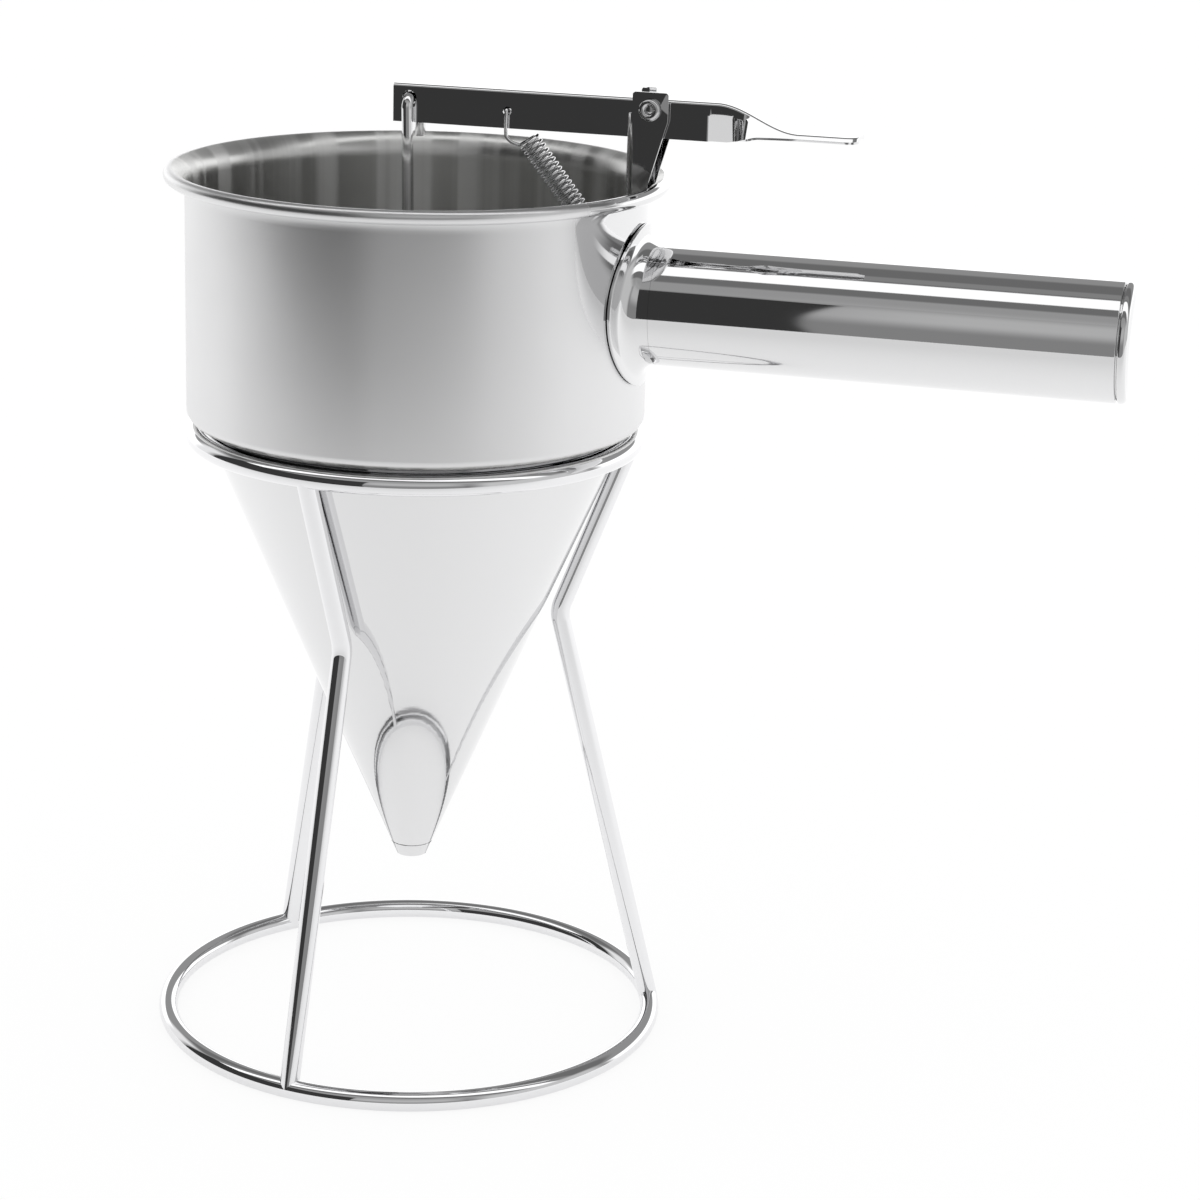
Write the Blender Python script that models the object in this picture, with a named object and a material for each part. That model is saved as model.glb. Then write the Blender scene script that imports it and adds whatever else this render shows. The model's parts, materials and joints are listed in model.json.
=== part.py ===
# Pancake batter dispenser: a funnel with a side handle and a lever-operated stopper,
# standing in a three-legged wire rack.
#
# Metres, +Z up. The handle points along +X. The origin is on the table, at the middle
# of the whole object's footprint. Pieces are drawn around the funnel's own upright axis
# and their parents carry them to it.

import bmesh
import bpy
from math import acos, cos, hypot, pi, radians, sin, sqrt, tan
from mathutils import Matrix, Vector

# clearances
gap = 0.0003
overrun = 0.004
weld_distance = 0.000001

# stand
wire_radius = 0.0031
ring_sides = 12
ring_segments = 48
top_ring_height = 0.1888
top_ring_inset = 0.0021
base_ring_spread = 0.0095
leg_count = 3
first_leg_angle = radians(20)
leg_waist_drop = 0.0568
leg_cone_clearance = 0.0024
leg_corner_radius = 0.0100
wire_resolution = 3

# funnel: bowl, cone and nozzle
funnel_segments = 60
cone_half_angle = radians(23.25)
cone_wall = 0.0008
outlet_radius = 0.0047
bowl_radius = 0.0688
bowl_wall = 0.0008
bowl_depth = 0.0734
bowl_corner_radius = 0.0032
bowl_ring_clearance = 0.0012
bowl_skirt_length = 0.0060
rim_overhang = 0.0062
rim_bead_radius = 0.00205
rim_flare_height = 0.0055
rim_bead_start = radians(205)
rim_bead_end = radians(472)
nozzle_height = 0.0040
nozzle_bore_radius = 0.0034
nozzle_spigot_length = 0.0045
nozzle_lip = 0.0006

# handle
handle_segments = 48
handle_radius = 0.0175
handle_wall = 0.0010
handle_drop = 0.0335
handle_length = 0.1442
collar_radius = 0.0240
collar_wall = 0.0010
collar_fillet_radius = 0.0042
collar_land = 0.0009
spigot_length = 0.0080
spigot_wall = 0.0010
cap_height = 0.0030
cap_edge_radius = 0.0018
cap_flat_radius = 0.0120
cap_dome = 0.0004

# lever
lever_width = 0.0084
lever_wall = 0.0010
lever_height = 0.0111
lever_bend_radius = 0.0012
lever_rise = 0.0272
pivot_overhang = 0.0025
pivot_drop = 0.0028
hook_reach = -0.0018
hook_drop = 0.0040
hook_hole_clearance = 0.0005
nose_length = 0.0049
taper_lead = 0.0192
taper_length = 0.0245
taper_steps = 12
splay_lead = 0.0237
splay_length = 0.0070
splay_angle = radians(46)
side_lead = 0.0217
side_length = 0.0110
tab_drop = 0.00705
tab_width = 0.0150
tab_lip = 0.0001
tab_length = 0.0607
tab_corner_radius = 0.0035
tab_corner_steps = 4

# bracket and rivet
ear_wall = 0.0012
ear_clearance = 0.0005
bracket_depth = 0.0031
bracket_bend_radius = 0.0021
bracket_drop = 0.0345
ear_front = 0.0052
ear_back = 0.0053
ear_step_drop = 0.0014
ear_rise = 0.0021
ear_corner = 0.0009
ear_neck_front = 0.0003
ear_neck_rise = 0.0045
ear_shoulder_drop = 0.0032
far_ear_trim = 0.0011
far_ear_drop = 0.0003
notch_clearance = 0.0010
rivet_radius = 0.0015
rivet_clearance = 0.0002
rivet_head_radius = 0.0032
rivet_head_height = 0.0018
rivet_dimple_radius = 0.0011
rivet_dimple_depth = 0.0008
rivet_segments = 24

# stopper
stopper_segments = 24
rod_radius = 0.0017
rod_side_clearance = 0.00035
hook_corner_radius = 0.0030
hook_tail = 0.0125
rod_knee_radius = 0.0300
rod_straight = 0.0140
plug_radius = 0.0060
plug_tip_radius = 0.0024
plug_land = 0.0042
plug_shoulder = 0.0040
plug_neck_wall = 0.0013
plug_neck_length = 0.0043
socket_depth = 0.0080

# return spring
spring_wire_radius = 0.00052
coil_radius = 0.00305
coil_pitch = 0.00165
points_per_coil = 9
spring_hook_length = 0.0100
spring_arm = 0.0432
spring_hole_drop = 0.0061
spring_hole_radius = 0.0012
anchor_drop = 0.0272
anchor_hole_radius = 0.0012
spring_side_clearance = 0.0004
spring_drop = 0.0035
spring_turn_shares = ((0.18, 0.5), (0.55, 0.18))
spring_lead_out_share = 0.55
hook_end_length = 0.0018
path_step = 0.0012

# places worked out from the sizes above
rim_radius = bowl_radius + rim_overhang
top_ring_radius = bowl_radius - top_ring_inset
base_ring_radius = top_ring_radius + base_ring_spread
handle_reach = bowl_radius + handle_length
pivot_reach = bowl_radius + pivot_overhang
spring_hole_reach = pivot_reach - spring_arm
taper_start = pivot_reach + taper_lead
splay_start = pivot_reach + splay_lead
side_start = pivot_reach + side_lead
tab_reach = pivot_reach + tab_length
rim_height = top_ring_height + wire_radius + bowl_ring_clearance + bowl_depth
bowl_floor = rim_height - bowl_depth
bowl_inner = bowl_radius - bowl_wall
bead_centre = rim_radius - rim_bead_radius
cone_seat_radius = top_ring_radius - (wire_radius + gap) / cos(cone_half_angle)
outlet_height = top_ring_height - (cone_seat_radius - outlet_radius) / tan(cone_half_angle)
base_ring_height = wire_radius * cos(pi / ring_sides)
nozzle_top = outlet_height + nozzle_height
handle_height = rim_height - handle_drop
lever_top = rim_height + lever_rise
lever_bottom = lever_top - lever_height
pivot_height = lever_top - pivot_drop
hook_height = lever_top - hook_drop
ear_width = lever_width + 2 * (ear_clearance + ear_wall)
base_ring_reach = base_ring_radius + wire_radius * cos(pi / ring_sides)
axis_x = (base_ring_reach - handle_reach) / 2


def cone_outer(height):
    return outlet_radius + (height - outlet_height) * tan(cone_half_angle)


def cone_inner(height):
    return cone_outer(height) - cone_wall / cos(cone_half_angle)


leg_waist_height = top_ring_height - leg_waist_drop
leg_waist_radius = (cone_outer(leg_waist_height)
                    + (wire_radius + leg_cone_clearance) / cos(cone_half_angle))


def clear_scene():
    for item in list(bpy.data.objects):
        bpy.data.objects.remove(item)


def metal(name, color, roughness):
    material = bpy.data.materials.new(name)
    material.use_nodes = True
    shader = material.node_tree.nodes["Principled BSDF"]
    shader.inputs["Base Color"].default_value = (*color, 1)
    shader.inputs["Metallic"].default_value = 1
    shader.inputs["Roughness"].default_value = roughness
    material.diffuse_color = (*color, 1)
    return material


def empty(name, place, parent=None):
    item = bpy.data.objects.new(name, None)
    bpy.context.scene.collection.objects.link(item)
    item.parent = parent
    item.location = place
    return item


def add_piece(name, bm, material, carrier, origin):
    """Links a finished mesh, with its origin where its joint needs it."""
    bmesh.ops.recalc_face_normals(bm, faces=bm.faces)
    bmesh.ops.translate(bm, verts=bm.verts, vec=-Vector(origin))
    mesh = bpy.data.meshes.new(name)
    bm.to_mesh(mesh)
    bm.free()
    mesh.shade_smooth()
    mesh.set_sharp_from_angle(angle=radians(35))
    mesh.materials.append(material)
    item = bpy.data.objects.new(name, mesh)
    bpy.context.scene.collection.objects.link(item)
    item.parent = carrier
    item.location = Vector(origin) - Vector(carrier["origin"])
    return item


def add_cutter(name, bm, carrier, origin):
    item = add_piece(name, bm, bpy.data.materials["cutter"], carrier, origin)
    item.hide_render = True
    item.display_type = "WIRE"
    return item


def cut(item, cutter, operation="DIFFERENCE"):
    modifier = item.modifiers.new(cutter.name, "BOOLEAN")
    modifier.operation = operation
    modifier.solver = "EXACT"
    modifier.object = cutter


def turned(outline, segments, closed=True):
    """Spins (radius, height) points round Z. An open outline ends on the axis."""
    bm = bmesh.new()
    verts = [bm.verts.new((radius, 0, height)) for radius, height in outline]
    ends = verts[1:] + verts[:1] if closed else verts[1:]
    edges = [bm.edges.new(pair) for pair in zip(verts, ends)]
    bmesh.ops.spin(bm, geom=verts + edges, axis=(0, 0, 1), cent=(0, 0, 0),
                   angle=2 * pi, steps=segments, use_merge=True)
    bmesh.ops.remove_doubles(bm, verts=bm.verts, dist=weld_distance)
    return bm


def lay_along_x(bm, height):
    """Turns a piece spun round Z so that its axis runs along +X at the given height."""
    turn = Matrix.Translation((0, 0, height)) @ Matrix.Rotation(pi / 2, 4, "Y")
    bmesh.ops.transform(bm, matrix=turn, verts=bm.verts)


def lay_along_y(bm, reach, height):
    turn = Matrix.Translation((reach, 0, height)) @ Matrix.Rotation(-pi / 2, 4, "X")
    bmesh.ops.transform(bm, matrix=turn, verts=bm.verts)


def prism(outline, along, low, high):
    """Extrudes a flat outline from low to high along one axis."""
    axes = {"X": (1, 2, 0), "Y": (0, 2, 1), "Z": (0, 1, 2)}[along]
    bm = bmesh.new()
    verts = []
    for first, second in outline:
        place = [0, 0, 0]
        place[axes[0]], place[axes[1]], place[axes[2]] = first, second, low
        verts.append(bm.verts.new(place))
    face = bm.faces.new(verts)
    grown = bmesh.ops.extrude_face_region(bm, geom=[face])
    moved = [item for item in grown["geom"] if isinstance(item, bmesh.types.BMVert)]
    step = Vector((0, 0, 0))
    step[axes[2]] = high - low
    bmesh.ops.translate(bm, verts=moved, vec=step)
    return bm


def pin(radius, reach, height, half_length, segments):
    """A plain pin along Y, used to cut holes."""
    outline = [(0, -half_length), (radius, -half_length), (radius, half_length), (0, half_length)]
    bm = turned(outline, segments, closed=False)
    lay_along_y(bm, reach, height)
    return bm


def arc(centre, radius, start, end, steps):
    angles = [start + (end - start) * step / steps for step in range(steps + 1)]
    return [(centre[0] + radius * cos(angle), centre[1] + radius * sin(angle)) for angle in angles]


def bend_curve(first, control, last, steps):
    """A quadratic curve between two points of an outline."""
    points = []
    for step in range(steps + 1):
        share = step / steps
        weights = ((1 - share) ** 2, 2 * share * (1 - share), share ** 2)
        points.append(tuple(sum(weight * point[axis] for weight, point
                                in zip(weights, (first, control, last))) for axis in (0, 1)))
    return points


def rounded_path(corners, radii, steps):
    """Straight runs through the corners, each corner rounded to its own radius."""
    points = [Vector(corners[0])]
    for before, corner, after, radius in zip(corners, corners[1:], corners[2:], radii):
        corner = Vector(corner)
        inward = (Vector(before) - corner).normalized()
        outward = (Vector(after) - corner).normalized()
        half_angle = acos(max(-1, min(1, inward.dot(outward)))) / 2
        middle = corner + (inward + outward).normalized() * radius / sin(half_angle)
        start = corner + inward * radius / tan(half_angle) - middle
        end = corner + outward * radius / tan(half_angle) - middle
        for step in range(steps + 1):
            points.append(middle + start.slerp(end, step / steps) * radius)
    points.append(Vector(corners[-1]))
    return points


def flowing_path(knots, step_length):
    """A smooth curve through the knots, with points about one step apart."""
    padded = [2 * knots[0] - knots[1]] + knots + [2 * knots[-1] - knots[-2]]
    points = []
    for before, start, end, after in zip(padded, padded[1:], padded[2:], padded[3:]):
        count = max(1, round((end - start).length / step_length))
        for index in range(count):
            share = index / count
            points.append(0.5 * (2 * start + (end - before) * share
                                 + (2 * before - 5 * start + 4 * end - after) * share ** 2
                                 + (3 * start - before - 3 * end + after) * share ** 3))
    points.append(knots[-1])
    return points


def wire(points, radius, resolution):
    """A round wire along the points, closed at both ends."""
    curve = bpy.data.curves.new("wire", "CURVE")
    curve.dimensions = "3D"
    curve.bevel_depth = radius
    curve.bevel_resolution = resolution
    curve.use_fill_caps = True
    spline = curve.splines.new("POLY")
    spline.points.add(len(points) - 1)
    for target, point in zip(spline.points, points):
        target.co = (*point, 1)
    holder = bpy.data.objects.new("wire", curve)
    bm = bmesh.new()
    bm.from_mesh(holder.to_mesh())
    bpy.data.objects.remove(holder)
    bmesh.ops.remove_doubles(bm, verts=bm.verts, dist=weld_distance)
    return bm


def ring_outline(radius, height, section):
    """A ring's section, with a flat facet at the bottom and the top."""
    turn = pi / ring_sides - pi / 2
    angles = [turn + 2 * pi * side / ring_sides for side in range(ring_sides)]
    return [(radius + section * cos(angle), height + section * sin(angle)) for angle in angles]


def build_stand(steel, carrier):
    rings = {"stand_top_ring": (top_ring_radius, top_ring_height),
             "stand_base_ring": (base_ring_radius, base_ring_height)}
    seats = []
    for name, (radius, height) in rings.items():
        bm = turned(ring_outline(radius, height, wire_radius), ring_segments)
        add_piece(name, bm, steel, carrier, (0, 0, 0))
        bm = turned(ring_outline(radius, height, wire_radius + gap), ring_segments)
        seats.append(add_cutter(name + "_seat", bm, carrier, (0, 0, 0)))
    for number in range(leg_count):
        angle = first_leg_angle + number * 2 * pi / leg_count
        places = [(top_ring_radius, top_ring_height), (leg_waist_radius, leg_waist_height),
                  (base_ring_radius, base_ring_height)]
        corners = [(radius * cos(angle), radius * sin(angle), height) for radius, height in places]
        path = rounded_path(corners, [leg_corner_radius], 4)
        leg = add_piece(f"stand_leg_{number + 1}", wire(path, wire_radius, wire_resolution),
                        steel, carrier, (0, 0, 0))
        for seat in seats:
            cut(leg, seat)


def flare_inner():
    """The inside of the lip where the bowl's wall turns out into its rolled rim."""
    bead_end = arc((bead_centre, rim_height), rim_bead_radius, rim_bead_end, rim_bead_end, 1)[0]
    return bend_curve((bowl_inner, rim_height - rim_flare_height), (bowl_inner, rim_height),
                      bead_end, 4)


def build_bowl(steel, carrier):
    slant = cos(cone_half_angle)

    def skirt_outer(height):
        return cone_inner(height) - gap / slant

    def skirt_inner(height):
        return skirt_outer(height) - bowl_wall / slant

    bead = arc((bead_centre, rim_height), rim_bead_radius, rim_bead_start, rim_bead_end, 9)
    flare_outer = bend_curve((bowl_radius, rim_height - rim_flare_height),
                             (bowl_radius, rim_height), bead[0], 3)
    corner_centre = (bowl_radius - bowl_corner_radius, bowl_floor + bowl_corner_radius)
    skirt_bottom = bowl_floor - bowl_skirt_length
    outline = bead + flare_inner()[-2::-1]
    outline += arc(corner_centre, bowl_corner_radius - bowl_wall, 0, -pi / 2, 3)
    outline += [(skirt_inner(bowl_floor + bowl_wall), bowl_floor + bowl_wall),
                (skirt_inner(skirt_bottom), skirt_bottom),
                (skirt_outer(skirt_bottom), skirt_bottom),
                (skirt_outer(bowl_floor), bowl_floor)]
    outline += arc(corner_centre, bowl_corner_radius, -pi / 2, 0, 3)
    outline += flare_outer[:-1]
    add_piece("hopper_bowl", turned(outline, funnel_segments), steel, carrier,
              (0, 0, top_ring_height))


def build_cone(steel, carrier):
    top = bowl_floor - gap
    bottom = nozzle_top + gap
    outline = [(cone_outer(top), top), (cone_outer(bottom), bottom),
               (cone_inner(bottom), bottom), (cone_inner(top), top)]
    add_piece("hopper_cone", turned(outline, funnel_segments), steel, carrier,
              (0, 0, top_ring_height))


def spigot_outer(height):
    return cone_inner(height) - gap / cos(cone_half_angle)


def seat_mouth():
    top = nozzle_top + nozzle_spigot_length
    return spigot_outer(top) - nozzle_lip, top


def build_nozzle(steel, carrier):
    mouth_radius, top = seat_mouth()
    outline = [(outlet_radius, outlet_height), (cone_outer(nozzle_top), nozzle_top),
               (spigot_outer(nozzle_top), nozzle_top), (spigot_outer(top), top),
               (mouth_radius, top), (nozzle_bore_radius, nozzle_top),
               (nozzle_bore_radius, outlet_height)]
    add_piece("outlet_nozzle", turned(outline, stopper_segments), steel, carrier,
              (0, 0, top_ring_height))


def saddle(bm, start, end):
    """Bends the foot of a piece laid along X on to the bowl's round wall."""
    for vert in bm.verts:
        drop = bowl_radius - sqrt(bowl_radius ** 2 - vert.co.y ** 2)
        share = max(0, min(1, (end - vert.co.x) / (end - start)))
        vert.co.x -= drop * share


def build_handle(steel, carrier):
    origin = (0, 0, top_ring_height)
    foot = bowl_radius + gap
    face = foot + collar_wall
    shoulder = face + collar_fillet_radius + collar_land
    bore = handle_radius - handle_wall - gap - spigot_wall
    spigot = handle_radius - handle_wall - gap
    fillet = arc((handle_radius + collar_fillet_radius, face + collar_fillet_radius),
                 collar_fillet_radius, -pi / 2, -pi, 4)
    outline = [(bore, foot), (collar_radius, foot), (collar_radius, face)] + fillet
    outline += [(handle_radius, shoulder), (spigot, shoulder), (spigot, shoulder + spigot_length),
                (bore, shoulder + spigot_length)]
    bm = turned(outline, handle_segments)
    lay_along_x(bm, handle_height)
    saddle(bm, shoulder - collar_land, shoulder)
    add_piece("handle_collar", bm, steel, carrier, origin)

    tube_start = shoulder + gap
    tube_end = handle_reach - cap_height - gap
    inner = handle_radius - handle_wall
    bm = turned([(inner, tube_start), (handle_radius, tube_start), (handle_radius, tube_end),
                 (inner, tube_end)], handle_segments)
    lay_along_x(bm, handle_height)
    add_piece("handle_tube", bm, steel, carrier, origin)

    seam = handle_reach - cap_height
    edge = arc((handle_radius - cap_edge_radius, handle_reach - cap_dome - cap_edge_radius),
               cap_edge_radius, 0, pi / 2, 4)
    outline = [(0, handle_reach - handle_wall), (bore, handle_reach - cap_height),
               (bore, seam - spigot_length), (spigot, seam - spigot_length), (spigot, seam),
               (handle_radius, seam)] + edge
    outline += [(cap_flat_radius, handle_reach), (0, handle_reach)]
    bm = turned(outline, handle_segments, closed=False)
    lay_along_x(bm, handle_height)
    add_piece("handle_end_cap", bm, steel, carrier, origin)


def lever_section(reach, width, lean, top, bottom):
    """One cut across the lever: a channel, open below, whose sides can lean outwards."""
    bend = lever_bend_radius
    inner = bend - lever_wall
    centre = width / 2 - bend
    run = (top - bend + bend * sin(lean) - bottom) / cos(lean)
    foot = centre + bend * cos(lean) + run * sin(lean)
    inner_foot = foot - lever_wall * cos(lean)
    inner_bottom = bottom - lever_wall * sin(lean)
    outside = [(-foot, bottom)]
    outside += arc((-centre, top - bend), bend, pi - lean, pi / 2, 2)
    outside += arc((centre, top - bend), bend, pi / 2, lean, 2)
    outside += [(foot, bottom)]
    inside = [(inner_foot, inner_bottom)]
    inside += arc((centre, top - bend), inner, lean, pi / 2, 1)
    inside += arc((-centre, top - bend), inner, pi / 2, pi - lean, 1)
    inside += [(-inner_foot, inner_bottom)]
    return [(reach, side, height) for side, height in outside + inside]


def ease(share):
    share = max(0, min(1, share))
    return share * share * (3 - 2 * share)


def build_lever(steel, carrier):
    corner_start = tab_reach - tab_corner_radius
    stations = [hook_reach - nose_length]
    stations += [taper_start + taper_length * step / taper_steps
                 for step in range(taper_steps + 1)]
    stations += [corner_start + tab_corner_radius * sin(step * pi / 2 / tab_corner_steps)
                 for step in range(tab_corner_steps + 1)]
    bm = bmesh.new()
    loops = []
    for reach in stations:
        share = ease((reach - taper_start) / taper_length)
        width = lever_width + (tab_width - lever_width) * share
        into_corner = max(0, reach - corner_start)
        width -= 2 * (tab_corner_radius - sqrt(max(0, tab_corner_radius ** 2 - into_corner ** 2)))
        lean = splay_angle * ease((reach - splay_start) / splay_length)
        top = lever_top - tab_drop * share
        tab_bottom = lever_top - tab_drop - lever_wall - tab_lip
        side_share = ease((reach - side_start) / side_length)
        bottom = lever_bottom + (tab_bottom - lever_bottom) * side_share
        verts = [bm.verts.new(place) for place in lever_section(reach, width, lean, top, bottom)]
        loops.append([bm.edges.new(pair) for pair in zip(verts, verts[1:] + verts[:1])])
        if reach in (stations[0], stations[-1]):
            bm.faces.new(verts)
    for first, second in zip(loops, loops[1:]):
        bmesh.ops.bridge_loops(bm, edges=first + second)
    origin = (pivot_reach, 0, pivot_height)
    lever = add_piece("lever", bm, steel, carrier, origin)
    half_length = lever_width / 2 + overrun
    holes = {"lever_pivot_hole": (rivet_radius + rivet_clearance, pivot_reach, pivot_height),
             "lever_hook_hole": (rod_radius + hook_hole_clearance, hook_reach, hook_height),
             "lever_spring_hole": (spring_hole_radius, spring_hole_reach,
                                   lever_top - spring_hole_drop)}
    for name, (radius, reach, height) in holes.items():
        hole = pin(radius, reach, height, half_length, rivet_segments // 2)
        cut(lever, add_cutter(name, hole, carrier, origin))


def ear_outline():
    """The bracket seen from the side, as (reach, height) points."""
    curve_in = bowl_inner - sqrt(bowl_inner ** 2 - (ear_width / 2) ** 2)
    wall_side = bowl_inner - curve_in - gap
    back = wall_side - bracket_depth
    front = pivot_reach + ear_front
    top = lever_top + ear_rise
    bottom = rim_height - bracket_drop
    step_back = pivot_reach - ear_back
    flare = flare_inner()
    rim_side = []
    for before, point, after in zip(flare, flare[1:], flare[2:]):
        run, rise = after[0] - before[0], after[1] - before[1]
        length = hypot(run, rise)
        rim_side.append((point[0] - curve_in - gap * rise / length,
                         point[1] + gap * run / length))
    outline = [(back, bottom), (wall_side, bottom), (wall_side, flare[0][1])]
    outline += rim_side
    outline += [(pivot_reach + ear_neck_front, rim_height + ear_neck_rise),
                (front, pivot_height - ear_shoulder_drop)]
    outline += arc((front - ear_corner, top - ear_corner), ear_corner, 0, pi / 2, 2)
    outline += arc((step_back + ear_corner, top - ear_corner), ear_corner, pi / 2, pi, 2)
    outline += [(step_back, pivot_height - ear_step_drop), (back, pivot_height - ear_step_drop)]
    return outline, back


def build_bracket(steel, carrier):
    outline, back = ear_outline()
    front = max(point[0] for point in outline)
    bottom = min(point[1] for point in outline)
    top = max(point[1] for point in outline)
    half = ear_width / 2
    bend = bracket_bend_radius
    inner = bend - ear_wall
    section = [(front + overrun, -half)]
    section += arc((back + bend, bend - half), bend, -pi / 2, -pi, 3)
    section += arc((back + bend, half - bend), bend, pi, pi / 2, 3)
    section += [(front + overrun, half), (front + overrun, half - ear_wall)]
    section += arc((back + bend, half - bend), inner, pi / 2, pi, 2)
    section += arc((back + bend, bend - half), inner, -pi, -pi / 2, 2)
    section += [(front + overrun, ear_wall - half)]
    origin = (0, 0, top_ring_height)
    bm = prism(section, "Z", bottom - overrun, top + overrun)
    bracket = add_piece("pivot_bracket", bm, steel, carrier, origin)
    shape = prism(outline, "Y", -half - overrun, half + overrun)
    cut(bracket, add_cutter("bracket_shape", shape, carrier, origin), "INTERSECT")
    slot = half - ear_wall
    notch_bottom = lever_bottom - notch_clearance
    reach = (back - overrun, back + bend + overrun)
    notch = [(reach[0], notch_bottom), (reach[1], notch_bottom), (reach[1], top + overrun),
             (reach[0], top + overrun)]
    cut(bracket, add_cutter("bracket_notch", prism(notch, "Y", -slot, slot), carrier, origin))
    hole = pin(rivet_radius + rivet_clearance, pivot_reach, pivot_height, half + overrun,
               rivet_segments // 2)
    cut(bracket, add_cutter("bracket_rivet_hole", hole, carrier, origin))
    # the far ear is lower in front of its hole, level with the lever's top
    trim = [(pivot_reach - far_ear_trim, lever_top - far_ear_drop),
            (front + overrun, lever_top - far_ear_drop), (front + overrun, top + overrun),
            (pivot_reach - far_ear_trim, top + overrun)]
    cut(bracket, add_cutter("bracket_far_trim", prism(trim, "Y", 0, half + overrun), carrier,
                            origin))
    anchor = turned([(0, back - overrun), (anchor_hole_radius, back - overrun),
                     (anchor_hole_radius, back + bend), (0, back + bend)],
                    rivet_segments // 2, closed=False)
    lay_along_x(anchor, rim_height - anchor_drop)
    cut(bracket, add_cutter("bracket_anchor_hole", anchor, carrier, origin))
    return back


def build_rivet(steel, carrier):
    seat = ear_width / 2 + gap
    end = seat + rivet_head_height
    rim = (rivet_dimple_radius + rivet_head_radius) / 2
    outline = [(0, rivet_dimple_depth - end), (rivet_dimple_radius, rivet_dimple_depth - end),
               ((rivet_dimple_radius + rim) / 2, -end), (rim, -end),
               (rivet_head_radius, -(seat + end) / 2), (rivet_head_radius, -seat),
               (rivet_radius, -seat), (rivet_radius, seat), (rivet_head_radius, seat),
               (rivet_head_radius, (seat + end) / 2), (rim, end), (0, end)]
    bm = turned(outline, rivet_segments, closed=False)
    lay_along_y(bm, pivot_reach, pivot_height)
    add_piece("pivot_rivet", bm, steel, carrier, (pivot_reach, 0, pivot_height))


def plug_outline():
    mouth_radius, mouth_height = seat_mouth()
    rise = mouth_height - nozzle_top
    slope = (mouth_radius - nozzle_bore_radius) / rise
    seat_gap = gap * hypot(1, slope)
    tip = nozzle_top + (plug_tip_radius - nozzle_bore_radius + seat_gap) / slope
    widest = nozzle_top + (plug_radius - nozzle_bore_radius + seat_gap) / slope
    neck_radius = rod_radius + gap + plug_neck_wall
    neck = widest + plug_land + plug_shoulder
    top = neck + plug_neck_length
    return [(0, tip), (plug_tip_radius, tip), (plug_radius, widest),
            (plug_radius, widest + plug_land), (neck_radius, neck), (neck_radius, top),
            (rod_radius + gap, top), (rod_radius + gap, top - socket_depth),
            (0, top - socket_depth)]


def build_stopper(steel, carrier):
    origin = (hook_reach, 0, hook_height)
    outline = plug_outline()
    add_piece("stopper_plug", turned(outline, stopper_segments, closed=False), steel, carrier,
              origin)
    rod_end = outline[-1][1] + gap
    leg_side = lever_width / 2 + rod_side_clearance + rod_radius
    corners = [(0, 0, rod_end), (0, 0, rod_end + rod_straight),
               (hook_reach, -leg_side, hook_height), (hook_reach, leg_side, hook_height),
               (hook_reach, leg_side, hook_height - hook_tail)]
    path = rounded_path(corners, [rod_knee_radius, hook_corner_radius, hook_corner_radius], 5)
    add_piece("stopper_rod", wire(path, rod_radius, wire_resolution), steel, carrier, origin)


def spring_path(bracket_back):
    """The spring's centre line: upper hook, close coil and lower hook in one run."""
    flange = lever_width / 2 - lever_wall / 2
    hole = Vector((spring_hole_reach, -flange, lever_top - spring_hole_drop))
    anchor = Vector((bracket_back + ear_wall / 2, 0, rim_height - anchor_drop))
    line = (anchor - hole).normalized()
    start = hole + line * spring_hook_length
    end = anchor - line * spring_hook_length
    sideways = Vector((0, 1, 0)).cross(line).normalized()
    if sideways.z > 0:
        sideways = -sideways
    across = line.cross(sideways)
    turns = round((end - start).length / coil_pitch)
    count = turns * points_per_coil
    coil = []
    for index in range(count + 1):
        angle = 2 * pi * index / points_per_coil
        centre = start.lerp(end, index / count)
        coil.append(centre + coil_radius * (cos(angle) * sideways + sin(angle) * across))
    outside = -lever_width / 2 - spring_wire_radius - spring_side_clearance
    inside = -lever_width / 2 + lever_wall + spring_wire_radius + spring_side_clearance
    rise = spring_hole_radius / 3
    upper = [Vector((hole.x, inside, hole.z - hook_end_length)),
             Vector((hole.x, inside, hole.z - rise)),
             Vector((hole.x, hole.y, hole.z + rise)),
             Vector((hole.x, outside, hole.z - rise)),
             Vector((hole.x, outside, coil[0].z + spring_drop))]
    upper += [Vector((hole.x + (coil[0].x - hole.x) * along,
                      outside + (coil[0].y - outside) * along,
                      coil[0].z + spring_drop * above)) for along, above in spring_turn_shares]
    upper.append(coil[0])
    behind = bracket_back + ear_wall + spring_wire_radius + spring_side_clearance
    lower = [coil[-1],
             coil[-1] + (anchor - coil[-1]) * spring_lead_out_share,
             Vector((anchor.x - ear_wall, 0, anchor.z + rise)),
             Vector((anchor.x, 0, anchor.z)),
             Vector((behind, 0, anchor.z - rise)),
             Vector((behind, 0, anchor.z - hook_end_length))]
    return flowing_path(upper, path_step)[:-1] + coil + flowing_path(lower, path_step)[1:]


def least_gap(points, radius, near_length):
    """The smallest gap between two stretches of one wire."""
    lengths = [0]
    for before, after in zip(points, points[1:]):
        lengths.append(lengths[-1] + (after - before).length)
    smallest = min((first - second).length
                   for index, first in enumerate(points)
                   for other, second in enumerate(points[:index])
                   if lengths[index] - lengths[other] > near_length)
    return smallest - 2 * radius


def build_spring(steel, carrier, bracket_back):
    path = spring_path(bracket_back)
    near_length = pi * coil_radius
    clear = least_gap(path, spring_wire_radius, near_length)
    print(f"return spring: least gap between its turns {clear * 1000:.2f} mm")
    add_piece("return_spring", wire(path, spring_wire_radius, 1), steel, carrier,
              (spring_hole_reach, 0, rim_height))


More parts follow.
